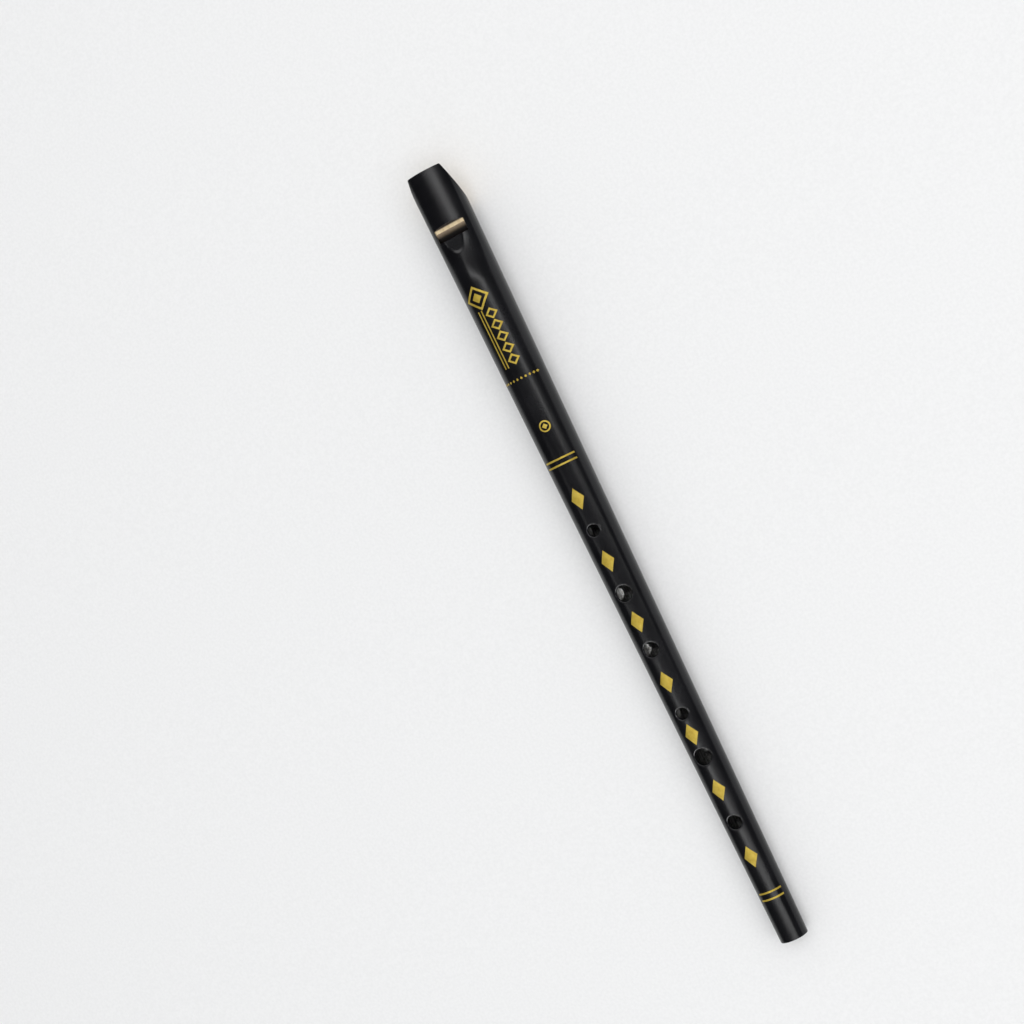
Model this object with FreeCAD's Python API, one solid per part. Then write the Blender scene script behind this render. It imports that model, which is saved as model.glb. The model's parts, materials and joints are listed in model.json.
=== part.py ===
import FreeCAD, Part
import math
import os

# A conical tin whistle in D: a tube rolled from black enamelled tinplate, pressed to a D shape
# around a wooden plug at the mouth end, with gold marks printed on its front.
#
# While it is modelled, x runs along the bore's axis from the mouth end to the foot, z points to
# the playing side (window and finger holes) and y is across. place() then lays the finished
# pieces on z = 0 with the middle of their box at x = y = 0.

# Driving dimensions, in mm and degrees
LENGTH = 306.0
MOUTH_DIAMETER = 18.0
FOOT_DIAMETER = 10.6
SHEET = 0.3                 # thickness of the tinplate
FOOT_BORE_LENGTH = 5.0      # the last of the bore is parallel, from sizing the foot on a mandrel

CREASE_ANGLE = 58.0         # the head is pressed in between creases at this angle from the front
CROWN = 2.4                 # how far the pressed face still rises between its creases
PRESSED_END = 28.0          # the pressed section is constant up to here
ROUND_START = 44.0          # and the tube is round from here on
FADE_STATIONS = 4

SEAM_WIDTH = 4.2            # lap seam along the back
BEAK_TIP_RISE = 3.0         # height of the beak's underside above the axis, at the mouth
BEAK_TIP_SLOPE = 22.5       # its slope there
BEAK_SCOOP_RADIUS = 55.0    # hollow of the underside, seen from the side
BEAK_CROSS_RADIUS = 13.0    # roundness of the underside, seen from the mouth end
BEAK_CUT_HALF_WIDTH = 11.7

WINDOW_START = 21.1         # edge of the windway's roof, at the window's corners
ROOF_ARCH = 0.7             # the roof's edge is cut back by this in the middle
WINDOW_END = 26.0           # edge of the blade
WINDOW_WIDTH = 12.8
LIP_LENGTH = 6.4            # half-moon pressed down behind the blade's edge
LIP_WIDTH = 8.0
LIP_DROP = 1.0              # at the blade
LIP_END_DROP = 0.25         # at the far end

WINDWAY_HEIGHT = 1.3        # in the middle; the arched roof comes down to the plug at the sides
FLOOR_END = 22.4            # the plug's top runs a little past the roof
PLUG_CHAMFER = 3.0
PLUG_LENGTH = FLOOR_END + PLUG_CHAMFER

# Each finger hole: distance from the mouth end, clear diameter
FINGER_HOLES = [(142.4, 4.3), (167.4, 5.9), (189.8, 5.5), (215.3, 4.3), (232.5, 6.1), (258.6, 5.0)]
COLLAR_DEPTH = 0.9          # the holes' edges are turned in

PRINT = 0.05                # thickness of the gold print
DIAMOND_STATIONS = [129.7, 154.4, 178.6, 202.6, 223.5, 245.6, 272.2]
DIAMOND_LENGTH = 8.4
DIAMOND_WIDTH = 5.1
UPPER_BANDS = [113.9, 116.1]
LOWER_BANDS = [286.5, 289.1]
BAND_WIDTH = 0.65
BAND_ANGLE = 50.0           # the bands reach this far to each side of their middle
LOWER_BAND_TURN = 6.0       # the lower bands' middle is this far round from the front line
KEY_RING_STATION = 101.2
KEY_RING_MIDDLE = 0.8       # the ring's centre across the tube
KEY_RING_DIAMETER = 4.3
KEY_RING_LINE = 0.55
DOT_ROW_STATION = 82.0
DOT_ROW_ANGLES = range(-54, 55, 12)
DOT_LENGTH = 1.1
DOT_WIDTH = 0.9

ORNAMENT_START = 44.8
ORNAMENT_LOZENGE = (9.4, 9.4)      # length along the tube, width across it
ORNAMENT_MIDDLE = -1.25            # the big lozenge's centre across the tube
ORNAMENT_LINE = 1.1
ORNAMENT_HEART = 3.9               # size of the small lozenge in the big one
CHAIN_LINKS = 5
CHAIN_PITCH = 4.55
CHAIN_LINK = (4.3, 4.8)            # length along the tube, width across it
CHAIN_LINE = 0.9
CHAIN_MIDDLE = 1.3
RULE_LEVELS = [-1.9, -3.2]
RULE_WIDTH = 0.5

REACH = 15.0                # safely past the tube's skin, for cutting tools
OVERRUN = 1.0               # cutting tools run past the ends of what they cut by this


def point(x, y, z):
    return FreeCAD.Vector(x, y, z)


X_AXIS = point(1, 0, 0)
Y_AXIS = point(0, 1, 0)
Z_AXIS = point(0, 0, 1)


def outer_radius(x):
    """Radius of the round tube's outside at a station."""
    return (MOUTH_DIAMETER + (FOOT_DIAMETER - MOUTH_DIAMETER) * x / LENGTH) / 2


def pressed_share(x):
    """1 where the head is fully pressed, 0 where the tube is round, with an eased fade between."""
    t = min(max((x - PRESSED_END) / (ROUND_START - PRESSED_END), 0.0), 1.0)
    return 1 - t * t * (3 - 2 * t)


def front_height(x):
    """Height of the outside above the axis along the front line."""
    radius = outer_radius(x)
    dent = radius * (1 - math.cos(math.radians(CREASE_ANGLE))) - CROWN
    return radius - pressed_share(x) * dent


def section(x, inset):
    """The tube's outline at a station, moved inwards by inset: a flattened front arc and a round back."""
    outside = outer_radius(x)
    radius = outside - inset
    crease = math.acos((outside * math.cos(math.radians(CREASE_ANGLE)) - inset) / radius)
    halfway = (crease + math.pi) / 2
    right = point(x, radius * math.sin(crease), radius * math.cos(crease))
    left = point(x, -right.y, right.z)
    top = point(x, 0, front_height(x) - inset)
    back = point(x, 0, -radius)
    right_side = point(x, radius * math.sin(halfway), radius * math.cos(halfway))
    left_side = point(x, -right_side.y, right_side.z)
    arcs = [
        Part.Arc(left, top, right),
        Part.Arc(right, right_side, back),
        Part.Arc(back, left_side, left),
    ]
    return Part.Wire([arc.toShape() for arc in arcs])


def envelope(inset, start=0.0, end=LENGTH):
    """The whole tube as one solid form, with its skin moved inwards by inset."""
    fade = (ROUND_START - PRESSED_END) / FADE_STATIONS
    stations = [start, PRESSED_END] + [PRESSED_END + fade * (i + 1) for i in range(FADE_STATIONS)]
    head = Part.makeLoft([section(x, inset) for x in stations], True, True)
    body = Part.makeCone(
        outer_radius(ROUND_START) - inset,
        outer_radius(end) - inset,
        end - ROUND_START,
        point(ROUND_START, 0, 0),
        X_AXIS,
    )
    return head.fuse(body)


def layer(outer_inset, inner_inset):
    """The closed layer between two depths under the tube's outside; less than 0 is above it."""
    return envelope(outer_inset).cut(envelope(inner_inset))


def bore():
    """The hollow: tapered with the tube, then parallel in the foot, and past both ends."""
    straight = LENGTH - FOOT_BORE_LENGTH
    tapered = envelope(SHEET, start=-OVERRUN, end=straight)
    parallel = Part.makeCylinder(
        outer_radius(straight) - SHEET, FOOT_BORE_LENGTH + OVERRUN, point(straight, 0, 0), X_AXIS
    )
    return tapered.fuse(parallel)


def beak_cutter():
    """A spool across the mouth end that scoops the beak's underside and leaves it rounded across."""
    slope = math.radians(BEAK_TIP_SLOPE)
    centre = point(
        -BEAK_SCOOP_RADIUS * math.sin(slope),
        0,
        BEAK_TIP_RISE - BEAK_SCOOP_RADIUS * math.cos(slope),
    )
    half = BEAK_CUT_HALF_WIDTH
    flare = BEAK_CROSS_RADIUS - math.sqrt(BEAK_CROSS_RADIUS**2 - half**2)
    rim = BEAK_SCOOP_RADIUS + flare
    corners = [
        centre + point(0, half, rim),
        centre + point(0, half, 0),
        centre + point(0, -half, 0),
        centre + point(0, -half, rim),
    ]
    waist = Part.Arc(corners[3], centre + point(0, 0, BEAK_SCOOP_RADIUS), corners[0]).toShape()
    profile = Part.Face(Part.Wire(Part.makePolygon(corners).Edges + [waist]))
    return profile.revolve(centre, Y_AXIS, 360)


def half_moon(grown):
    """Upright half-ellipse prism over the pressed lip, grown outwards by a distance."""
    ellipse = Part.Ellipse(point(WINDOW_END, 0, 0), LIP_LENGTH + grown, LIP_WIDTH / 2 + grown)
    curve = Part.ArcOfEllipse(ellipse, -math.pi / 2, math.pi / 2).toShape()
    ends = [v.Point for v in curve.Vertexes]
    face = Part.Face(Part.Wire([curve, Part.makeLine(ends[1], ends[0])]))
    return face.extrude(Z_AXIS * REACH)


def above_lip(lowered):
    """Everything over the lip's sloping face, or over a face a distance below it."""
    low = front_height(WINDOW_END) - LIP_DROP - lowered
    rise = front_height(WINDOW_END + LIP_LENGTH) - LIP_END_DROP - lowered - low
    run = LIP_LENGTH + OVERRUN
    corners = [
        point(WINDOW_END, -REACH, low),
        point(WINDOW_END + run, -REACH, low + rise * run / LIP_LENGTH),
        point(WINDOW_END + run, -REACH, REACH),
        point(WINDOW_END, -REACH, REACH),
    ]
    return Part.Face(Part.makePolygon(corners + corners[:1])).extrude(Y_AXIS * 2 * REACH)


def window():
    """Upright prism that cuts the window, with an arched side where it meets the windway's roof."""
    half = WINDOW_WIDTH / 2
    below_skin = front_height(WINDOW_START) - CROWN - SHEET - OVERRUN
    corners = [
        point(WINDOW_START, -half, below_skin),
        point(WINDOW_END, -half, below_skin),
        point(WINDOW_END, half, below_skin),
        point(WINDOW_START, half, below_skin),
    ]
    arch = Part.Arc(corners[3], point(WINDOW_START - ROOF_ARCH, 0, below_skin), corners[0]).toShape()
    outline = Part.Wire(Part.makePolygon(corners).Edges + [arch])
    return Part.Face(outline).extrude(Z_AXIS * REACH)


def upright_cylinder(x, radius, y=0.0):
    return Part.makeCylinder(radius, REACH, point(x, y, 0), Z_AXIS)


def lap_seam():
    """The strip where the sheet's outer edge lies over its inner one, let into the tube's back."""
    ends = [outer_radius(0), outer_radius(LENGTH)]
    outside = Part.makeCone(ends[0] + SHEET, ends[1] + SHEET, LENGTH, point(0, 0, 0), X_AXIS)
    inside = Part.makeCone(ends[0] - SHEET / 2, ends[1] - SHEET / 2, LENGTH, point(0, 0, 0), X_AXIS)
    strip = Part.makeBox(LENGTH, SEAM_WIDTH, REACH, point(0, -SEAM_WIDTH / 2, -REACH))
    return outside.cut(inside).common(strip)


def tin_tube():
    tube = envelope(0).cut(bore()).fuse(lap_seam()).cut(beak_cutter()).cut(window())

    lip = half_moon(SHEET).common(above_lip(SHEET)).common(envelope(0))
    tube = tube.fuse(lip).cut(half_moon(0).common(above_lip(0)))

    turned_in = layer(0, COLLAR_DEPTH)
    for x, diameter in FINGER_HOLES:
        collar = upright_cylinder(x, diameter / 2 + SHEET).common(turned_in)
        tube = tube.fuse(collar).cut(upright_cylinder(x, diameter / 2))
    return tube.removeSplitter()


def fipple_plug():
    """The wooden block: fills the head below the windway, with a sloping end under the window."""
    floor = front_height(PRESSED_END) - SHEET - WINDWAY_HEIGHT
    side = [
        point(0, -REACH, -REACH),
        point(PLUG_LENGTH, -REACH, -REACH),
        point(PLUG_LENGTH, -REACH, floor - PLUG_CHAMFER),
        point(FLOOR_END, -REACH, floor),
        point(0, -REACH, floor),
    ]
    block = Part.Face(Part.makePolygon(side + side[:1])).extrude(Y_AXIS * 2 * REACH)
    return envelope(SHEET).common(block).cut(beak_cutter())


def lozenge(x, y, length, width):
    """Upright lozenge prism around a place on the front."""
    corners = [
        point(x - length / 2, y, 0),
        point(x, y - width / 2, 0),
        point(x + length / 2, y, 0),
        point(x, y + width / 2, 0),
    ]
    return Part.Face(Part.makePolygon(corners + corners[:1])).extrude(Z_AXIS * REACH)


def lozenge_frame(x, y, length, width, line):
    share = 1 - 2 * line / min(length, width)
    return lozenge(x, y, length, width).cut(lozenge(x, y, length * share, width * share))


def bar(start, end, y, width):
    """Upright bar prism along the tube."""
    return Part.makeBox(end - start, width, REACH, point(start, y - width / 2, 0))


def band(x, turn=0.0):
    """Upright prism over a band round the front, its middle turned round from the front line."""
    radius = outer_radius(x)
    left = radius * math.sin(math.radians(turn - BAND_ANGLE))
    right = radius * math.sin(math.radians(turn + BAND_ANGLE))
    return Part.makeBox(BAND_WIDTH, right - left, REACH, point(x - BAND_WIDTH / 2, left, 0))


def print_layer(prisms):
    """Printed marks: each prism's share of the thin film over the tube."""
    film = layer(-PRINT, 0)
    marks = [prism.common(film) for prism in prisms]
    return Part.makeCompound([solid for mark in marks for solid in mark.Solids])


def key_ring():
    radius = KEY_RING_DIAMETER / 2
    ring = upright_cylinder(KEY_RING_STATION, radius, KEY_RING_MIDDLE)
    ring = ring.cut(upright_cylinder(KEY_RING_STATION, radius - KEY_RING_LINE, KEY_RING_MIDDLE))
    return [ring, lozenge(KEY_RING_STATION, KEY_RING_MIDDLE, radius, radius)]


def dot_row():
    radius = outer_radius(DOT_ROW_STATION)
    across = [radius * math.sin(math.radians(angle)) for angle in DOT_ROW_ANGLES]
    return [lozenge(DOT_ROW_STATION, y, DOT_LENGTH, DOT_WIDTH) for y in across]


def ornament():
    """A framed lozenge with a chain of smaller ones after it, over two rules."""
    length, width = ORNAMENT_LOZENGE
    middle = ORNAMENT_START + length / 2
    shapes = [
        lozenge_frame(middle, ORNAMENT_MIDDLE, length, width, ORNAMENT_LINE),
        lozenge(middle, ORNAMENT_MIDDLE, ORNAMENT_HEART, ORNAMENT_HEART),
    ]
    chain_start = ORNAMENT_START + length
    for i in range(CHAIN_LINKS):
        x = chain_start + CHAIN_PITCH * (i + 0.5)
        shapes.append(lozenge_frame(x, CHAIN_MIDDLE, *CHAIN_LINK, CHAIN_LINE))
    for level in RULE_LEVELS:
        shapes.append(bar(chain_start, chain_start + CHAIN_PITCH * CHAIN_LINKS, level, RULE_WIDTH))
    return shapes


def place(shapes):
    """Lay the pieces on z = 0, with the middle of the tube's box at x = y = 0."""
    box = shapes["tin_tube"].optimalBoundingBox(False, False)
    for shape in shapes.values():
        shape.translate(point(-box.Center.x, -box.Center.y, -box.ZMin))


def main():
    diamonds = [lozenge(x, 0, DIAMOND_LENGTH, DIAMOND_WIDTH) for x in DIAMOND_STATIONS]
    shapes = {
        "tin_tube": tin_tube(),
        "fipple_plug": fipple_plug(),
        "print_diamonds": print_layer(diamonds),
        "print_upper_bands": print_layer([band(x) for x in UPPER_BANDS]),
        "print_lower_bands": print_layer([band(x, LOWER_BAND_TURN) for x in LOWER_BANDS]),
        "print_key_ring": print_layer(key_ring()),
        "print_dot_row": print_layer(dot_row()),
        "print_ornament": print_layer(ornament()),
    }
    place(shapes)
    os.makedirs("parts", exist_ok=True)
    for node, shape in shapes.items():
        shape.exportStep(f"parts/{node}.step")
        print(node, len(shape.Solids), "solids", round(shape.Volume, 2), "mm3", shape.isValid())


main()
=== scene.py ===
import json
import math

import bmesh
import bpy
from mathutils import Matrix, Vector


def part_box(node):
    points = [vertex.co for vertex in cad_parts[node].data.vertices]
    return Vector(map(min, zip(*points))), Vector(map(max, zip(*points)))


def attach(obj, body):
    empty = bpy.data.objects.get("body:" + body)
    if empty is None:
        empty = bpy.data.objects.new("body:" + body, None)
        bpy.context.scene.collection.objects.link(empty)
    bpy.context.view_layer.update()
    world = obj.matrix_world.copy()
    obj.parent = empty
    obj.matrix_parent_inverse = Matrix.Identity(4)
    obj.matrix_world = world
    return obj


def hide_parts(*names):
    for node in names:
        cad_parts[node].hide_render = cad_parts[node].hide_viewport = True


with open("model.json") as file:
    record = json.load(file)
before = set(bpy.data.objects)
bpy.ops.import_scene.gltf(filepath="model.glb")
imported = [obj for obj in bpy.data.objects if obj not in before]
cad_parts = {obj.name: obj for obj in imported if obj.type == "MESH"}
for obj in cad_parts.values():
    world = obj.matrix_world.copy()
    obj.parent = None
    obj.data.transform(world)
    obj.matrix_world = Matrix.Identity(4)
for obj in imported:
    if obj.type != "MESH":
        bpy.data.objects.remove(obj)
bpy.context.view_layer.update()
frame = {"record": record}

# A black tinplate whistle with gold print and a wooden plug, lying on its back on a pale floor.
# The shapes are worked out in millimetres along the whistle: x from the mouth end to the foot,
# y across, and z from the bore's axis to the playing side. in_frame() puts them in the row frame.

MM = 0.001

# The tube, as it is designed
LENGTH = 306.0
MOUTH_DIAMETER = 18.0
FOOT_DIAMETER = 10.6
CREASE_ANGLE = math.radians(58)
CROWN = 2.4
CREASE_SOFTNESS = 1.3
PRESSED_END = 28.0
ROUND_START = 44.0
SHEET = 0.285               # a touch thinner than the designed sheet, to stay inside its box
PRESSED_SHEET = 0.3         # the designed sheet, which the windway's height is measured from

SEAM_HALF = 2.1
SEAM_HIDDEN = 1.8           # the inner layer stops a little short of the outer one's bend
SEAM_RAMP = 1.5
SEAM_LIFT = 0.298           # how far the outer layer rides up

BEAK_TIP_RISE = 3.0
BEAK_TIP_SLOPE = math.radians(22.5)
BEAK_SCOOP_RADIUS = 55.0
BEAK_CROSS_RADIUS = 13.0

WINDOW_START = 21.1
WINDOW_END = 26.0
WINDOW_ANGLE = math.radians(49.5)      # half the window's width, round from the front
ROOF_ARCH = 0.7             # the roof's edge is cut back by this in the middle
LIP_LENGTH = 6.4
LIP_WIDTH = 8.0
LIP_DROP = 1.0              # at the blade
LIP_END_DROP = 0.25         # at the far end
LIP_WALL = 0.26             # width of the pressed edge, as a share of the lip's size

WINDWAY_HEIGHT = 1.3
FLOOR_END = 22.4
PLUG_CHAMFER = 3.0
PLUG_GAP = 0.01
ROOF_SHADE_LENGTH = 2.5     # the roof's shadow is painted on the windway's floor this far back under the roof's edge
ROOF_SHADE_DEPTH = 0.4      # and this far down the plug's sides
ROOF_SHADE_FADE = 0.2
END_SHADE_DEPTH = 1.75      # how far down the sloping end the bore's shade is painted dark

FINGER_HOLES = [(142.4, 4.3), (167.4, 5.9), (189.8, 5.5), (215.3, 4.3), (232.5, 6.1), (258.6, 5.0)]
HOLE_BEND = 0.62            # radius of the turned-in edge
HOLE_WALL = 0.30            # straight part of the edge below the bend

# The printed marks
FILM_TOP = 0.025
FILM_ROOT = -0.03
DIAMOND_STATIONS = [129.7, 154.4, 178.6, 202.6, 223.5, 245.6, 272.2]
DIAMOND_SIZE = (8.4, 5.1)
UPPER_BANDS = [113.9, 116.1]
LOWER_BANDS = [286.5, 289.1]
BAND_WIDTH = 0.65
BAND_ANGLE = math.radians(50)
LOWER_BAND_TURN = math.radians(6)
KEY_RING_STATION = 101.2
KEY_RING_MIDDLE = 0.8
KEY_RING_DIAMETER = 4.3
KEY_RING_LINE = 0.55
DOT_ROW_STATION = 82.0
DOT_ROW_ANGLES = range(-54, 55, 12)    # in degrees
DOT_LENGTH = 1.1
DOT_WIDTH = 0.9
ORNAMENT_START = 44.8
ORNAMENT_LOZENGE = (9.4, 9.4)
ORNAMENT_MIDDLE = -1.25
ORNAMENT_LINE = 1.1
ORNAMENT_HEART = 3.9
CHAIN_LINKS = 5
CHAIN_PITCH = 4.55
CHAIN_LINK = (4.3, 4.8)
CHAIN_LINE = 0.9
CHAIN_MIDDLE = 1.3
RULE_LEVELS = [-1.9, -3.2]
RULE_WIDTH = 0.5

# Camera and floor, in millimetres unless a comment says otherwise
CAMERA_TILT = math.radians(20.4)       # from straight above, round the whistle's axis
CAMERA_DISTANCE = 750.0
CAMERA_LENS = 73.04
AIM_STATION = 123.8
AIM_SIDE = -25.75
DOWN_SLOPE = math.radians(64.4)        # how steeply the whistle runs down the picture
SENSOR_WIDTH = 36.0
CLIP_START = 0.01           # in metres
CLIP_END = 20.0             # in metres
FLOOR_HALF = 30.0           # in metres
FLOOR_GAP = 0.02
HEEL_STATION = 20.0         # where the whistle touches the floor at the head

# Beams into the finger holes
PIN_TILT = math.radians(30)
PIN_DISTANCE = 0.30         # in metres
PIN_SHIFT = 0.4             # how far to the +y side of a hole's centre its beam is aimed, in mm
PIN_SHARE = 0.66            # the beam's width, as a share of the hole's
PIN_BLEND = 0.3
PIN_POWERS = [1.6, 10.0, 5.5, 3.0, 0.1, 0.05]

SKY_COLOUR = (0.98, 0.99, 1.0, 1.0)
SKY_STRENGTH = 0.60


def mount(name):
    return next(m for m in frame["record"]["mounts"] if m["name"] == name)


MOUTH_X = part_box("tin_tube")[0].x
AXIS_Z = mount("foot_bore")["pos_m"][2]


def in_frame(x, y, z):
    return Vector((MOUTH_X + x * MM, y * MM, AXIS_Z + z * MM))


def smooth(t):
    t = min(max(t, 0.0), 1.0)
    return t * t * (3 - 2 * t)


def mix(a, b, t):
    return a + (b - a) * t


def steps(start, end, size):
    """Evenly spaced values from start up to, but not including, end."""
    count = max(1, round((end - start) / size))
    return [mix(start, end, i / count) for i in range(count)]


# The tube's outside as formulas

BISECT_ROUNDS = 40


def outer_radius(x):
    return (MOUTH_DIAMETER + (FOOT_DIAMETER - MOUTH_DIAMETER) * x / LENGTH) / 2


def pressed_share(x):
    return 1 - smooth((x - PRESSED_END) / (ROUND_START - PRESSED_END))


def front_height(x):
    radius = outer_radius(x)
    return radius - pressed_share(x) * (radius * (1 - math.cos(CREASE_ANGLE)) - CROWN)


def outline(x, angle):
    """Distance from the axis to the outside at an angle round from the front."""
    radius = outer_radius(x)
    share = pressed_share(x)
    if share <= 0:
        return radius
    half = radius * math.sin(CREASE_ANGLE)
    rise = front_height(x) - radius * math.cos(CREASE_ANGLE)
    arc = (half * half + rise * rise) / (2 * rise)
    centre = front_height(x) - arc
    flat = centre * math.cos(angle) + math.sqrt(arc * arc - (centre * math.sin(angle)) ** 2)
    blend = CREASE_SOFTNESS * share
    overlap = max(blend - abs(flat - radius), 0) / blend
    return min(flat, radius) - overlap * overlap * blend / 4


def seam_lift(x, angle):
    """The outer layer of the lap seam rides up over the inner one, on the +y side of the back."""
    along = (angle - math.pi) * outer_radius(x)
    return SEAM_LIFT * smooth((along + SEAM_HALF + SEAM_RAMP) / SEAM_RAMP)


def lip_drop(x, y, z):
    """How far the half-moon behind the blade is pressed below the outside."""
    if x < WINDOW_END or x > WINDOW_END + LIP_LENGTH:
        return 0.0
    reach = math.hypot((x - WINDOW_END) / LIP_LENGTH, y / (LIP_WIDTH / 2))
    low = front_height(WINDOW_END) - LIP_DROP
    high = front_height(WINDOW_END + LIP_LENGTH) - LIP_END_DROP
    facet = mix(low, high, (x - WINDOW_END) / LIP_LENGTH)
    return max(z - facet, 0) * smooth((1 - reach) / LIP_WALL)


def skin(x, angle):
    """Point on the outside."""
    distance = outline(x, angle) + seam_lift(x, angle)
    y = distance * math.sin(angle)
    z = distance * math.cos(angle)
    return x, y, z - lip_drop(x, y, z)


def beak_room(x, y, z):
    """Positive outside the spool-shaped cut that scoops the beak's underside."""
    centre_x = -BEAK_SCOOP_RADIUS * math.sin(BEAK_TIP_SLOPE)
    centre_z = BEAK_TIP_RISE - BEAK_SCOOP_RADIUS * math.cos(BEAK_TIP_SLOPE)
    flare = BEAK_CROSS_RADIUS - math.sqrt(BEAK_CROSS_RADIUS**2 - y * y)
    return math.hypot(x - centre_x, z - centre_z) - BEAK_SCOOP_RADIUS - flare


def bisect(test, low, high):
    """The value between low, where test is negative, and high, where it is positive."""
    for _ in range(BISECT_ROUNDS):
        middle = (low + high) / 2
        if test(middle) < 0:
            low = middle
        else:
            high = middle
    return (low + high) / 2


# Mesh helpers

TUBE_SHARP = math.radians(38)
PLUG_SHARP = math.radians(25)
PRINT_SHARP = math.radians(35)


def new_object(name, data):
    thing = bpy.data.objects.new(name, data)
    bpy.context.scene.collection.objects.link(thing)
    return thing


def mesh_object(name, points, faces):
    mesh = bpy.data.meshes.new(name)
    mesh.from_pydata([in_frame(*p) for p in points], [], faces)
    mesh.validate()
    return new_object(name, mesh)


def finish_shading(piece, sharp_angle):
    """Smooth faces everywhere, with the edges sharper than an angle kept crisp."""
    mesh = piece.data
    form = bmesh.new()
    form.from_mesh(mesh)
    bmesh.ops.recalc_face_normals(form, faces=form.faces)
    for face in form.faces:
        face.smooth = True
    for edge in form.edges:
        edge.smooth = len(edge.link_faces) == 2 and edge.calc_face_angle(0) < sharp_angle
    form.to_mesh(mesh)
    form.free()


# The tube: one sheet, laid out as columns round the tube and rows along it

FRONT_STEP = math.radians(2.25)
FRONT_COUNT = 28
FRONT_COLUMNS = [FRONT_STEP * (i + 1) for i in range(FRONT_COUNT)]
SIDE_COLUMNS = [math.radians(a) for a in (68, 74, 80, 87, 94, 101, 108)]
BACK_COLUMNS = 9
RAMP_COLUMNS = 5
SEAM_COLUMNS = [-SEAM_HALF - SEAM_RAMP * i / RAMP_COLUMNS for i in range(RAMP_COLUMNS, 0, -1)]
SEAM_COLUMNS += [-SEAM_HALF, -SEAM_HALF / 2, 0.0, SEAM_HALF / 2]


def column_angles(x, end):
    """Angles from the front line to the sheet's edge on one side, at a station."""
    radius = outer_radius(x)
    seam = [math.pi + s / radius for s in SEAM_COLUMNS + [end]]
    last = SIDE_COLUMNS[-1]
    back = [mix(last, seam[0], (i + 1) / (BACK_COLUMNS + 1)) for i in range(BACK_COLUMNS)]
    return FRONT_COLUMNS + SIDE_COLUMNS + back + seam


def all_columns(x):
    left = [-a for a in reversed(column_angles(x, SEAM_HIDDEN))]
    return left + [0.0] + column_angles(x, SEAM_HALF)


COLUMN_COUNT = len(all_columns(0))
FRONT_COLUMN = COLUMN_COUNT // 2
WINDOW_COLUMNS = round(WINDOW_ANGLE / FRONT_STEP)

# Rows, by their spacing along the tube
BEAK_ROWS = 24
WINDOW_ROW = 0.7
LIP_ROW = 0.22
LIP_MARGIN = 0.6
FADE_ROW = 1.2
FADE_MARGIN = 4.0
PLAIN_ROW = 4.0
HOLE_ROW = 0.36
HOLE_REACH = 5.0            # half the length of the gap that a hole's patch fills

# Rings of a hole's patch
FLAT_RINGS = 9
FLAT_CROWDING = 1.3         # over 1 crowds the flat rings towards the hole
BEND_RINGS = 7


def beak_start(column):
    """Where a column begins: the mouth end, or the scooped cut on the sides and back."""
    def room(x):
        return beak_room(*skin(x, all_columns(x)[column]))
    return 0.0 if room(0.0) >= 0 else bisect(room, 0.0, WINDOW_START)


def roof_edge(column):
    """Where a column reaches the window's level: the roof's edge is cut back in an arc."""
    share = abs(column - FRONT_COLUMN) / WINDOW_COLUMNS
    return WINDOW_START - ROOF_ARCH * max(1 - share * share, 0)


def body_stations():
    """Stations from the window's edge to the foot, close together where there is detail."""
    lip_end = WINDOW_END + LIP_LENGTH + LIP_MARGIN
    here = ROUND_START + FADE_MARGIN
    stations = steps(WINDOW_START, WINDOW_END, WINDOW_ROW)
    stations += steps(WINDOW_END, lip_end, LIP_ROW)
    stations += steps(lip_end, here, FADE_ROW)
    for x, _ in FINGER_HOLES:
        stations += steps(here, x - HOLE_REACH, PLAIN_ROW)
        stations += steps(x - HOLE_REACH, x + HOLE_REACH, HOLE_ROW)
        here = x + HOLE_REACH
    return stations + steps(here, LENGTH, PLAIN_ROW) + [LENGTH]


def hole_patch(points, border, hole_x, radius):
    """Fill a rectangular gap in the sheet with rings that run in to a round turned-in hole.

    border is the gap's ring of vertex numbers. Adds the rings to points, and returns the new faces.
    Each level is a ring's radius, how far it has gone from the border to that radius, and its fall.
    """
    outside = radius + HOLE_BEND
    rings = [border]
    start = [(points[v][0], points[v][1]) for v in border]
    targets = []
    for px, py in start:
        turn = math.atan2(py, px - hole_x)
        targets.append((math.cos(turn), math.sin(turn)))
    levels = []
    for i in range(FLAT_RINGS):
        left = 1 - (i + 1) / FLAT_RINGS
        levels.append((outside, 1 - left**FLAT_CROWDING, 0.0))
    for i in range(BEND_RINGS):
        tilt = math.pi / 2 * (i + 1) / BEND_RINGS
        levels.append((outside - HOLE_BEND * math.sin(tilt), 1.0, HOLE_BEND * (1 - math.cos(tilt))))
    levels.append((radius, 1.0, HOLE_BEND + HOLE_WALL / 2))
    levels.append((radius, 1.0, HOLE_BEND + HOLE_WALL))
    for reach, share, fall in levels:
        ring = []
        for (px, py), (cx, cy) in zip(start, targets):
            x = mix(px, hole_x + reach * cx, share)
            y = mix(py, reach * cy, share)
            z = math.sqrt(outer_radius(x) ** 2 - y * y) - fall
            ring.append(len(points))
            points.append((x, y, z))
        rings.append(ring)
    faces = []
    for outer, inner in zip(rings, rings[1:]):
        for i in range(len(outer)):
            j = (i + 1) % len(outer)
            faces.append((outer[i], inner[i], inner[j], outer[j]))
    return faces


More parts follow.
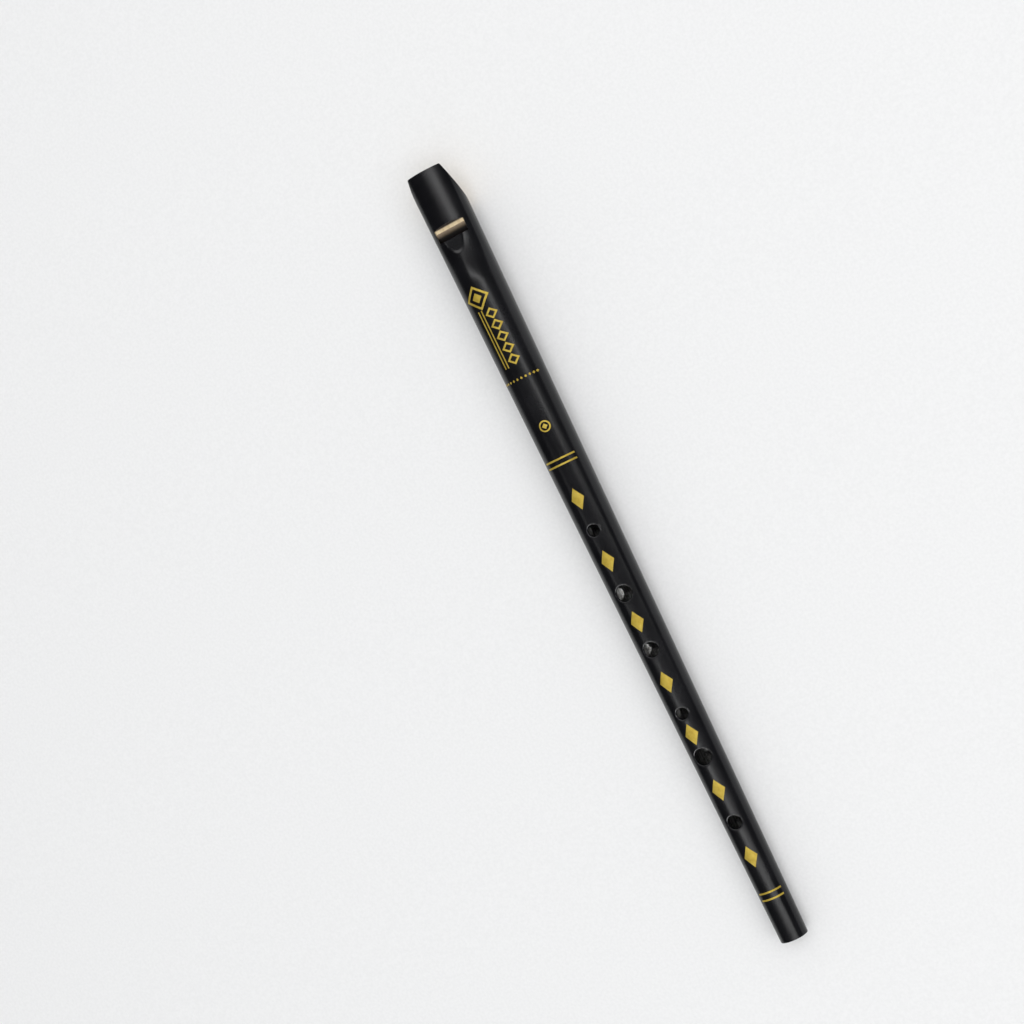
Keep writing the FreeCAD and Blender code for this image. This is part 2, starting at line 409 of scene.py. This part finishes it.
def tube_sheet():
    """The sheet's outside as points and faces, with its window and holes left open."""
    starts = [beak_start(c) for c in range(COLUMN_COUNT)]
    rows = []
    points = []

    def add_row(stations):
        row = []
        for column, x in enumerate(stations):
            row.append(len(points))
            points.append(skin(x, all_columns(x)[column]))
        rows.append(row)

    ends = [roof_edge(c) for c in range(COLUMN_COUNT)]
    for i in range(BEAK_ROWS):
        add_row([mix(start, end, i / BEAK_ROWS) for start, end in zip(starts, ends)])
    stations = body_stations()
    add_row(ends)
    for x in stations[1:]:
        add_row([x] * COLUMN_COUNT)

    def row_at(x):
        return BEAK_ROWS + min(range(len(stations)), key=lambda i: abs(stations[i] - x))

    gaps = [(row_at(WINDOW_START), row_at(WINDOW_END))]
    gaps += [(row_at(x - HOLE_REACH), row_at(x + HOLE_REACH)) for x, _ in FINGER_HOLES]
    left = FRONT_COLUMN - WINDOW_COLUMNS
    right = FRONT_COLUMN + WINDOW_COLUMNS
    faces = []
    for r in range(len(rows) - 1):
        in_gap = any(first <= r < last for first, last in gaps)
        for c in range(COLUMN_COUNT - 1):
            if in_gap and left <= c < right:
                continue
            faces.append((rows[r][c], rows[r + 1][c], rows[r + 1][c + 1], rows[r][c + 1]))

    for (first, last), (x, diameter) in zip(gaps[1:], FINGER_HOLES):
        border = [rows[first][c] for c in range(left, right)]
        border += [rows[r][right] for r in range(first, last)]
        border += [rows[last][c] for c in range(right, left, -1)]
        border += [rows[r][left] for r in range(last, first, -1)]
        faces += hole_patch(points, border, x, diameter / 2)
    return points, faces


def make_tube(materials):
    """The sheet given its thickness, with its second material on the inside and the cut edges."""
    points, faces = tube_sheet()
    tube = mesh_object("tube", points, faces)
    form = bmesh.new()
    form.from_mesh(tube.data)
    loose = [v for v in form.verts if not v.link_faces]
    bmesh.ops.delete(form, geom=loose, context="VERTS")
    form.to_mesh(tube.data)
    form.free()
    for material in materials:
        tube.data.materials.append(material)
    thick = tube.modifiers.new("sheet", "SOLIDIFY")
    thick.thickness = SHEET * MM
    thick.offset = -1
    thick.material_offset = 1
    thick.material_offset_rim = 1
    bpy.context.view_layer.update()
    solid = bpy.data.meshes.new_from_object(
        tube.evaluated_get(bpy.context.evaluated_depsgraph_get())
    )
    tube.modifiers.clear()
    tube.data = solid
    finish_shading(tube, TUBE_SHARP)
    return tube


# The plug

PLUG_ROW = 0.8
PLUG_FINE_START = 16.0      # rows are closer together from here to the end
PLUG_FINE_ROW = 0.4
TOP_POINTS = 10             # points of a section on one side: its top,
WALL_POINTS = 14            # its round wall,
UNDER_POINTS = 10           # and its underside
TOP_CORNER_LIMIT = math.radians(100)
ROUND_UNDER_TURN = math.radians(165)   # where the underside is taken to begin on a round section
CORNER_GAP = 0.01
CORNER_TOLERANCE = 1e-4
RAY_LENGTH = 20.0
FLANK_LIMIT = 0.99          # how far out the spool's flare is followed, as a share of its radius


def bore_outline(x, angle):
    return outline(x, angle) - SHEET - PLUG_GAP


def floor_height(x):
    """Top of the plug: the windway's floor, then the slope under the window."""
    floor = front_height(PRESSED_END) - PRESSED_SHEET - WINDWAY_HEIGHT
    return floor - max(x - FLOOR_END, 0)


def plug_point(x, heart, turn):
    """Where a ray from a point inside the plug's section leaves the wood."""
    dy = math.sin(turn)
    dz = math.cos(turn)

    def outside(distance):
        y = dy * distance
        z = heart + dz * distance
        wall = math.hypot(y, z) - bore_outline(x, math.atan2(y, z))
        flank = min(abs(y), BEAK_CROSS_RADIUS * FLANK_LIMIT)
        return max(wall, z - floor_height(x), -beak_room(x, flank, z))

    distance = bisect(outside, 0.0, RAY_LENGTH)
    return x, dy * distance, heart + dz * distance


def section_corner(x, heart, low, high, sign):
    """The turn, between two turns, where a cut surface of the plug meets its round wall.

    sign is -1 where the turn leaves a cut surface for the wall, and 1 where it comes back to one.
    """
    def past(turn):
        _, y, z = plug_point(x, heart, turn)
        wall = bore_outline(x, math.atan2(y, z)) - math.hypot(y, z)
        return sign * (wall - CORNER_TOLERANCE)

    return bisect(past, low, high)


def plug_section(x):
    """Ring of points round the plug: top, one side, the underside, the other side."""
    top = floor_height(x)
    bottom = -bore_outline(x, math.pi)
    scooped = beak_room(x, 0.0, bottom) < 0
    if scooped:
        spool_heart = BEAK_TIP_RISE - BEAK_SCOOP_RADIUS
        bottom = bisect(lambda z: beak_room(x, 0.0, z), spool_heart, top)
    heart = (top + bottom) / 2
    upper = section_corner(x, heart, 0.0, TOP_CORNER_LIMIT, -1)
    lower = ROUND_UNDER_TURN
    if scooped:
        lower = max(section_corner(x, heart, upper + CORNER_GAP, math.pi, 1), upper + CORNER_GAP)
    turns = [upper * i / TOP_POINTS for i in range(TOP_POINTS)]
    turns += [mix(upper, lower, i / WALL_POINTS) for i in range(WALL_POINTS)]
    turns += [mix(lower, math.pi, i / UNDER_POINTS) for i in range(UNDER_POINTS + 1)]
    turns += [-t for t in reversed(turns[1:-1])]
    return [plug_point(x, heart, t) for t in turns]


def make_plug(wood, end_wood):
    """The plug, with its sloping end in a second material."""
    end = FLOOR_END + PLUG_CHAMFER
    stations = steps(0.0, PLUG_FINE_START, PLUG_ROW)
    stations += steps(PLUG_FINE_START, FLOOR_END, PLUG_FINE_ROW)
    stations += steps(FLOOR_END, end, PLUG_FINE_ROW) + [end]
    sections = [plug_section(x) for x in stations]
    count = len(sections[0])
    points = [p for section in sections for p in section]
    faces = []
    for s in range(len(sections) - 1):
        for i in range(count):
            j = (i + 1) % count
            here = s * count
            there = here + count
            faces.append((here + i, here + j, there + j, there + i))
    last = (len(sections) - 1) * count
    faces.append(tuple(range(count)))
    faces.append(tuple(last + i for i in range(count)))
    plug = mesh_object("plug", points, faces)
    plug.data.materials.append(wood)
    plug.data.materials.append(end_wood)
    slope_start = in_frame(FLOOR_END, 0, 0).x
    form = bmesh.new()
    form.from_mesh(plug.data)
    bmesh.ops.triangulate(form, faces=[f for f in form.faces if len(f.verts) > 4])
    for face in form.faces:
        if face.calc_center_median().x > slope_start:
            face.material_index = 1
    form.to_mesh(plug.data)
    form.free()
    finish_shading(plug, PLUG_SHARP)
    return plug


# The printed marks: closed films that follow the tube

SKIN_ROUNDS = 12

# Cells of a film's grid
LINE_CELLS = 3              # across a printed line
BAR_CELLS = 24              # along a straight rule
BAND_CELLS = 60             # along a band round the tube
RING_CELLS = 48             # round a ring
FRAME_CELLS = 10            # along one side of a lozenge's frame
LOZENGE_CELLS = 12          # along a side of a large lozenge,
HEART_CELLS = 6             # of the one inside the key ring,
DOT_CELLS = 4               # and of a dot


def on_skin(x, y, lift):
    """Point above the outside at a place in plan."""
    angle = 0.0
    for _ in range(SKIN_ROUNDS):
        angle = math.asin(y / outline(x, angle))
    distance = outline(x, angle) + lift
    return x, distance * math.sin(angle), distance * math.cos(angle)


class Film:
    """Points and faces of one printed piece, gathered patch by patch."""

    def __init__(self):
        self.points = []
        self.faces = []

    def grid(self, plan, across, along, closed=False):
        """A film over a grid of places. plan(u, v) gives a place in plan, and closed joins u's ends."""
        columns = across if closed else across + 1
        rows = along + 1
        first = len(self.points)
        for lift in (FILM_TOP, FILM_ROOT):
            for i in range(columns):
                for j in range(rows):
                    self.points.append(on_skin(*plan(i / across, j / along), lift))

        def top(i, j):
            return first + (i % columns) * rows + j

        def root(i, j):
            return top(i, j) + columns * rows

        for i in range(across):
            for j in range(along):
                self.faces.append((top(i, j), top(i + 1, j), top(i + 1, j + 1), top(i, j + 1)))
                self.faces.append((root(i, j), root(i, j + 1), root(i + 1, j + 1), root(i + 1, j)))
            for j in (0, along):
                self.faces.append((top(i, j), root(i, j), root(i + 1, j), top(i + 1, j)))
        if not closed:
            for i in (0, across):
                for j in range(along):
                    self.faces.append((top(i, j), top(i, j + 1), root(i, j + 1), root(i, j)))

    def quad(self, corners, across, along):
        a, b, c, d = corners

        def plan(u, v):
            return tuple(mix(mix(a[k], b[k], u), mix(d[k], c[k], u), v) for k in (0, 1))

        self.grid(plan, across, along)

    def bar(self, start, end, y, width):
        half = width / 2
        corners = [(start, y - half), (end, y - half), (end, y + half), (start, y + half)]
        self.quad(corners, BAR_CELLS, LINE_CELLS)

    def lozenge(self, x, y, length, width, cells=LOZENGE_CELLS):
        self.quad(lozenge_corners(x, y, length, width), cells, cells)

    def lozenge_frame(self, x, y, length, width, line):
        share = 1 - 2 * line / min(length, width)
        outer = lozenge_corners(x, y, length, width)
        inner = lozenge_corners(x, y, length * share, width * share)

        def plan(u, v):
            side = int(u * 4) % 4
            t = u * 4 - int(u * 4)
            out = [mix(outer[side][k], outer[(side + 1) % 4][k], t) for k in (0, 1)]
            into = [mix(inner[side][k], inner[(side + 1) % 4][k], t) for k in (0, 1)]
            return mix(out[0], into[0], v), mix(out[1], into[1], v)

        self.grid(plan, 4 * FRAME_CELLS, LINE_CELLS, closed=True)

    def ring(self, x, y, radius, line):
        def plan(u, v):
            turn = 2 * math.pi * u
            reach = radius - line * v
            return x + reach * math.cos(turn), y + reach * math.sin(turn)

        self.grid(plan, RING_CELLS, LINE_CELLS, closed=True)

    def build(self, name, material):
        piece = mesh_object(name, self.points, self.faces)
        piece.data.materials.append(material)
        finish_shading(piece, PRINT_SHARP)
        return piece


def lozenge_corners(x, y, length, width):
    return [(x - length / 2, y), (x, y - width / 2), (x + length / 2, y), (x, y + width / 2)]


def make_diamonds(material):
    film = Film()
    for x in DIAMOND_STATIONS:
        film.lozenge(x, 0.0, *DIAMOND_SIZE)
    return film.build("gold_diamonds", material)


def make_bands(name, stations, turn, material):
    film = Film()
    for x in stations:

        def plan(u, v, x=x):
            angle = turn + mix(-BAND_ANGLE, BAND_ANGLE, v)
            return x + BAND_WIDTH * (u - 0.5), outer_radius(x) * math.sin(angle)

        film.grid(plan, LINE_CELLS, BAND_CELLS)
    return film.build(name, material)


def make_upper_bands(material):
    return make_bands("gold_upper_bands", UPPER_BANDS, 0.0, material)


def make_lower_bands(material):
    return make_bands("gold_lower_bands", LOWER_BANDS, LOWER_BAND_TURN, material)


def make_key_ring(material):
    film = Film()
    radius = KEY_RING_DIAMETER / 2
    film.ring(KEY_RING_STATION, KEY_RING_MIDDLE, radius, KEY_RING_LINE)
    film.lozenge(KEY_RING_STATION, KEY_RING_MIDDLE, radius, radius, HEART_CELLS)
    return film.build("gold_key_ring", material)


def make_dot_row(material):
    film = Film()
    radius = outer_radius(DOT_ROW_STATION)
    for angle in DOT_ROW_ANGLES:
        y = radius * math.sin(math.radians(angle))
        film.lozenge(DOT_ROW_STATION, y, DOT_LENGTH, DOT_WIDTH, DOT_CELLS)
    return film.build("gold_dot_row", material)


def make_ornament(material):
    film = Film()
    length, width = ORNAMENT_LOZENGE
    middle = ORNAMENT_START + length / 2
    film.lozenge_frame(middle, ORNAMENT_MIDDLE, length, width, ORNAMENT_LINE)
    film.lozenge(middle, ORNAMENT_MIDDLE, ORNAMENT_HEART, ORNAMENT_HEART)
    chain_start = ORNAMENT_START + length
    for i in range(CHAIN_LINKS):
        x = chain_start + CHAIN_PITCH * (i + 0.5)
        film.lozenge_frame(x, CHAIN_MIDDLE, *CHAIN_LINK, CHAIN_LINE)
    for level in RULE_LEVELS:
        film.bar(chain_start, chain_start + CHAIN_PITCH * CHAIN_LINKS, level, RULE_WIDTH)
    return film.build("gold_ornament", material)


# Materials

# Places of the colour sockets on a Mix node, whose sockets share their names
MIX_A = 6
MIX_B = 7
MIX_RESULT = 2


class Shader:
    """A node material with short calls for adding and joining nodes.

    Noise scales are features to the metre along each axis, and bump distances are in metres.
    """

    def __init__(self, name):
        self.material = bpy.data.materials.new(name)
        self.material.use_nodes = True
        self.tree = self.material.node_tree
        self.surface = self.tree.nodes["Principled BSDF"]
        self.place = self.add("ShaderNodeTexCoord").outputs["Object"]
        self.axes = None

    def add(self, kind, **settings):
        node = self.tree.nodes.new(kind)
        for name, value in settings.items():
            setattr(node, name, value)
        return node

    def join(self, source, target):
        self.tree.links.new(source, target)

    def constant(self, **values):
        for name, value in values.items():
            self.surface.inputs[name.replace("_", " ")].default_value = value

    def scaled(self, scale):
        """The piece's own coordinates, stretched by a factor along each axis."""
        node = self.add("ShaderNodeMapping")
        node.inputs["Scale"].default_value = scale
        self.join(self.place, node.inputs["Vector"])
        return node.outputs["Vector"]

    def noise(self, scale, detail=3.0, roughness=0.5, distortion=0.0):
        node = self.add("ShaderNodeTexNoise")
        node.inputs["Scale"].default_value = 1.0
        node.inputs["Detail"].default_value = detail
        node.inputs["Roughness"].default_value = roughness
        node.inputs["Distortion"].default_value = distortion
        self.join(self.scaled(scale), node.inputs["Vector"])
        return node.outputs["Fac"]

    def ramp(self, factor, *stops):
        node = self.add("ShaderNodeValToRGB")
        elements = node.color_ramp.elements
        while len(elements) < len(stops):
            elements.new(1.0)
        for element, (position, colour) in zip(elements, stops):
            element.position = position
            element.color = (*colour, 1.0)
        self.join(factor, node.inputs["Fac"])
        return node.outputs["Color"]

    def levels(self, factor, low, high, start=0.0, end=1.0):
        """Runs from low to high while the factor runs from start to end."""
        node = self.add("ShaderNodeMapRange")
        node.inputs["From Min"].default_value = start
        node.inputs["From Max"].default_value = end
        node.inputs["To Min"].default_value = low
        node.inputs["To Max"].default_value = high
        self.join(factor, node.inputs["Value"])
        return node.outputs["Result"]

    def along(self, axis):
        """The piece's own coordinate along X, Y or Z."""
        if self.axes is None:
            self.axes = self.add("ShaderNodeSeparateXYZ")
            self.join(self.place, self.axes.inputs["Vector"])
        return self.axes.outputs[axis]

    def math(self, operation, a, b):
        node = self.add("ShaderNodeMath", operation=operation)
        self.join(a, node.inputs[0])
        self.join(b, node.inputs[1])
        return node.outputs["Value"]

    def blend(self, factor, a, b):
        """A mix of two colours, each a tuple or another node's output."""
        node = self.add("ShaderNodeMix", data_type="RGBA")
        self.join(factor, node.inputs["Factor"])
        for socket, value in ((node.inputs[MIX_A], a), (node.inputs[MIX_B], b)):
            if isinstance(value, tuple):
                socket.default_value = (*value, 1.0)
            else:
                self.join(value, socket)
        return node.outputs[MIX_RESULT]

    def bump(self, height, strength, distance, normal=None):
        node = self.add("ShaderNodeBump")
        node.inputs["Strength"].default_value = strength
        node.inputs["Distance"].default_value = distance
        self.join(height, node.inputs["Height"])
        if normal is not None:
            self.join(normal, node.inputs["Normal"])
        return node.outputs["Normal"]

    def colour(self, source):
        self.join(source, self.surface.inputs["Base Color"])

    def rough(self, source):
        self.join(source, self.surface.inputs["Roughness"])

    def normal(self, source):
        self.join(source, self.surface.inputs["Normal"])


def even(scale):
    return (scale, scale, scale)


def enamel():
    """Satin black stoving enamel: slight orange peel, handling marks and a dusty bloom."""
    s = Shader("black_enamel")
    bloom = s.noise(even(90), detail=4)
    drag = s.noise((60, 900, 900), detail=4, roughness=0.6)
    s.colour(s.ramp(bloom, (0.3, (0.0045, 0.0045, 0.0055)), (0.75, (0.0080, 0.0080, 0.0095))))
    s.rough(s.math("ADD", s.levels(bloom, 0.19, 0.26), s.levels(drag, -0.03, 0.04)))
    s.constant(IOR=1.35)
    peel = s.noise(even(1400), detail=2)
    s.normal(s.bump(peel, 0.10, 0.00004, s.bump(drag, 0.06, 0.00004)))
    return s.material


def bare_tin():
    """Tinplate: soft metal with rolling lines along the sheet and dull stains, its tone partly dull tin
    and partly painted shade inside the bore.
    """
    s = Shader("bare_tin")
    lines = s.noise((40, 1600, 1600), detail=5, roughness=0.65)
    stains = s.noise(even(750), detail=5, roughness=0.7, distortion=0.6)
    # Painted shade: the tin's tone is set far darker than new tinplate, for the shade inside the bore.
    tin_tone_with_painted_shade = s.ramp(lines, (0.40, (0.085, 0.085, 0.083)), (0.60, (0.24, 0.24, 0.235)))
    s.colour(s.blend(s.levels(stains, 0, 0.85, 0.42, 0.62), tin_tone_with_painted_shade, (0.045, 0.042, 0.038)))
    s.rough(s.levels(lines, 0.34, 0.50))
    s.constant(Metallic=0.85)
    s.normal(s.bump(lines, 0.15, 0.00003))
    return s.material


def plug_wood():
    """Pale close-grained wood with its grain along the whistle, with the roof's shadow painted dark on
    it under the roof's edge.
    """
    s = Shader("plug_wood")
    rings = s.noise((55, 900, 500), detail=5, roughness=0.6, distortion=0.3)
    pores = s.noise((250, 5200, 5200), detail=2, roughness=0.7)
    grain = s.ramp(
        rings,
        (0.30, (0.50, 0.36, 0.19)),
        (0.50, (0.66, 0.52, 0.31)),
        (0.72, (0.76, 0.62, 0.40)),
    )
    flecks = s.levels(pores, 0, 0.75, 0.60, 0.78)
    clean = s.blend(flecks, grain, (0.34, 0.21, 0.10))
    fade = ROOF_SHADE_FADE * MM
    roof = in_frame(WINDOW_START, 0, 0).x
    back = roof - ROOF_SHADE_LENGTH * MM
    low = in_frame(0, 0, floor_height(0) - ROOF_SHADE_DEPTH).z
    under_roof = s.levels(s.along("X"), 1, 0, roof - fade, roof + fade)
    past_start = s.levels(s.along("X"), 0, 1, back, (back + roof) / 2)
    near_top = s.levels(s.along("Z"), 0, 1, low, low + fade)
    painted_roof_shade = s.math("MULTIPLY", s.math("MULTIPLY", under_roof, past_start), near_top)
    # Painted shade: the roof edge's shadow on the windway's floor, painted as near-black wood.
    s.colour(s.blend(painted_roof_shade, clean, (0.035, 0.022, 0.014)))
    s.rough(s.levels(rings, 0.62, 0.48))
    s.normal(s.bump(pores, 0.25, 0.00005, s.bump(rings, 0.12, 0.0001)))
    return s.material


def plug_end_wood():
    """The plug's sloping end: end grain, browner than the sides partly as painted shade, and painted
    darker down into the bore as shade.
    """
    s = Shader("plug_end_wood")
    pores = s.noise(even(2600), detail=3, roughness=0.7)
    fibres = s.noise((600, 2400, 600), detail=4, roughness=0.6)
    # End grain's brown, set darker than the wood's own, partly as painted shade on the slope.
    raw = s.ramp(fibres, (0.30, (0.20, 0.13, 0.070)), (0.70, (0.34, 0.24, 0.13)))
    flecked = s.blend(s.levels(pores, 0, 0.7, 0.55, 0.75), raw, (0.10, 0.060, 0.030))
    top = in_frame(0, 0, floor_height(0)).z
    # Painted shade: darker down the slope into the bore, to near black.
    painted_bore_shade = s.levels(s.along("Z"), 1, 0, top - END_SHADE_DEPTH * MM, top)
    s.colour(s.blend(painted_bore_shade, flecked, (0.010, 0.007, 0.006)))
    s.rough(s.levels(fibres, 0.75, 0.60))
    s.normal(s.bump(pores, 0.30, 0.00006))
    return s.material


def gold_print():
    """Screen-printed gold: fine metallic flake in a slightly patchy layer."""
    s = Shader("gold_print")
    patches = s.noise(even(420), detail=4, roughness=0.6)
    flake = s.noise(even(7000), detail=1)
    tone = s.ramp(
        patches,
        (0.30, (0.35, 0.235, 0.024)),
        (0.50, (0.44, 0.315, 0.038)),
        (0.72, (0.51, 0.38, 0.065)),
    )
    s.colour(s.blend(s.levels(flake, 0, 0.5, 0.55, 0.8), tone, (0.66, 0.52, 0.17)))
    s.rough(s.levels(patches, 0.50, 0.38))
    s.constant(Metallic=0.30, IOR=1.30)
    s.normal(s.bump(flake, 0.10, 0.00002))
    return s.material


def floor_paper():
    """Plain pale paper with a faint tooth."""
    s = Shader("floor")
    tooth = s.noise(even(900), detail=3)
    s.colour(s.ramp(tooth, (0.3, (0.80, 0.80, 0.80)), (0.7, (0.84, 0.84, 0.84))))
    s.constant(Roughness=0.85)
    s.normal(s.bump(tooth, 0.05, 0.0001))
    return s.material


# The stage

def make_floor():
    """A pale floor that touches the whistle's back, both at the beak's heel and at the foot."""
    low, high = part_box("tin_tube")
    rise = (outer_radius(0) - outer_radius(LENGTH)) * MM / (high.x - low.x)
    lowest = low.z - FLOOR_GAP * MM
    heel = in_frame(HEEL_STATION, 0, 0).x
    points = []
    for x, y in ((-1, -1), (1, -1), (1, 1), (-1, 1)):
        points.append((x * FLOOR_HALF, y * FLOOR_HALF, lowest + rise * (x * FLOOR_HALF - heel)))
    mesh = bpy.data.meshes.new("floor")
    mesh.from_pydata(points, [], [(0, 1, 2, 3)])
    floor = new_object("floor", mesh)
    mesh.materials.append(floor_paper())


def set_pose(thing, right, backward, place):
    """Put a camera or a lamp at a place, with its X axis along right. It looks away from backward."""
    pose = Matrix((right, backward.cross(right), backward)).transposed().to_4x4()
    pose.translation = place
    thing.matrix_world = pose


def make_camera():
    """The main view: from above and to one side, with the whistle running steeply down the picture."""
    side = Vector((0, math.cos(CAMERA_TILT), -math.sin(CAMERA_TILT)))
    backward = Vector((0, math.sin(CAMERA_TILT), math.cos(CAMERA_TILT)))
    right = math.cos(DOWN_SLOPE) * Vector((1, 0, 0)) + math.sin(DOWN_SLOPE) * side
    aim = in_frame(AIM_STATION, 0, 0) + side * AIM_SIDE * MM
    lens = bpy.data.cameras.new("camera")
    lens.lens = CAMERA_LENS
    lens.sensor_width = SENSOR_WIDTH
    lens.clip_start = CLIP_START
    lens.clip_end = CLIP_END
    camera = new_object("camera", lens)
    set_pose(camera, right, backward, aim + backward * CAMERA_DISTANCE * MM)
    bpy.context.scene.camera = camera


def add_softbox(name, start, end, width, radiance, in_reflections=True):
    """A strip softbox from start to end, in metres, that faces the whistle.

    It is seen either in reflections only, or as light on surfaces only.
    """
    start = Vector(start)
    end = Vector(end)
    length = (end - start).length
    light = bpy.data.lights.new(name, "AREA")
    light.shape = "RECTANGLE"
    light.size = length
    light.size_y = width
    light.energy = radiance * math.pi * length * width
    box = new_object(name, light)
    centre = (start + end) / 2
    along = (end - start).normalized()
    backward = (centre - along * centre.dot(along)).normalized()
    set_pose(box, along, backward, centre)
    box.visible_glossy = in_reflections
    box.visible_diffuse = not in_reflections


def add_pin_light(name, station, diameter, power):
    """A narrow beam into a finger hole, which shows the bare tin on the far side of the bore."""
    light = bpy.data.lights.new(name, "SPOT")
    light.spot_size = math.atan(PIN_SHARE * diameter * MM / PIN_DISTANCE)
    light.spot_blend = PIN_BLEND
    light.shadow_soft_size = 0.0
    light.energy = power
    lamp = new_object(name, light)
    backward = Vector((0, math.sin(PIN_TILT), math.cos(PIN_TILT)))
    target = in_frame(station, PIN_SHIFT, outer_radius(station))
    set_pose(lamp, Vector((1, 0, 0)), backward, target + backward * PIN_DISTANCE)


def make_lights():
    """Strips for the long highlights, banks for the edges of the holes, beams into the holes,
    and an overhead panel that lights the floor and the wood."""
    add_softbox(
        "overhead", (-1.5, 0.8, 2.0), (1.5, 0.8, 2.0), width=3.0, radiance=1.35, in_reflections=False
    )
    add_softbox("head_strip", (-0.44, -0.32, 1.0), (-0.09, 0.88, 1.0), width=0.085, radiance=8.9)
    add_softbox("head_strip_end", (-0.09, 0.88, 1.0), (0.20, 2.30, 1.0), width=0.10, radiance=3.2)
    add_softbox("foot_strip", (0.23, -0.31, 1.0), (0.55, 1.03, 1.0), width=0.09, radiance=8.6)
    add_softbox("foot_strip_end", (0.04, -0.88, 1.0), (0.23, -0.31, 1.0), width=0.12, radiance=2.1)
    add_softbox("head_bank", (-1.1, -0.6, 0.8), (-1.0, 0.9, 0.8), width=0.6, radiance=3.5)
    add_softbox("foot_bank", (1.35, 0.3, 0.8), (1.15, -0.9, 0.8), width=0.6, radiance=12.0)
    for number, ((station, diameter), power) in enumerate(zip(FINGER_HOLES, PIN_POWERS), 1):
        add_pin_light(f"pin_{number}", station, diameter, power)


def make_sky():
    """Pale surroundings that light surfaces, and aren't seen in reflections."""
    world = bpy.data.worlds.new("studio")
    world.use_nodes = True
    sky = world.node_tree.nodes["Background"]
    sky.inputs["Color"].default_value = SKY_COLOUR
    sky.inputs["Strength"].default_value = SKY_STRENGTH
    world.cycles_visibility.glossy = False
    bpy.context.scene.world = world


def main():
    gold = gold_print()
    pieces = [
        (make_tube([enamel(), bare_tin()]), "tin_tube", "black_enamel"),
        (make_plug(plug_wood(), plug_end_wood()), "fipple_plug", "plug_wood"),
        (make_diamonds(gold), "print_diamonds", "gold_print"),
        (make_upper_bands(gold), "print_upper_bands", "gold_print"),
        (make_lower_bands(gold), "print_lower_bands", "gold_print"),
        (make_key_ring(gold), "print_key_ring", "gold_print"),
        (make_dot_row(gold), "print_dot_row", "gold_print"),
        (make_ornament(gold), "print_ornament", "gold_print"),
    ]
    for piece, node, slot in pieces:
        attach(piece, "root")
        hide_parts(node)
    make_floor()
    make_camera()
    make_lights()
    make_sky()
    bpy.context.scene.view_settings.view_transform = "Standard"


main()
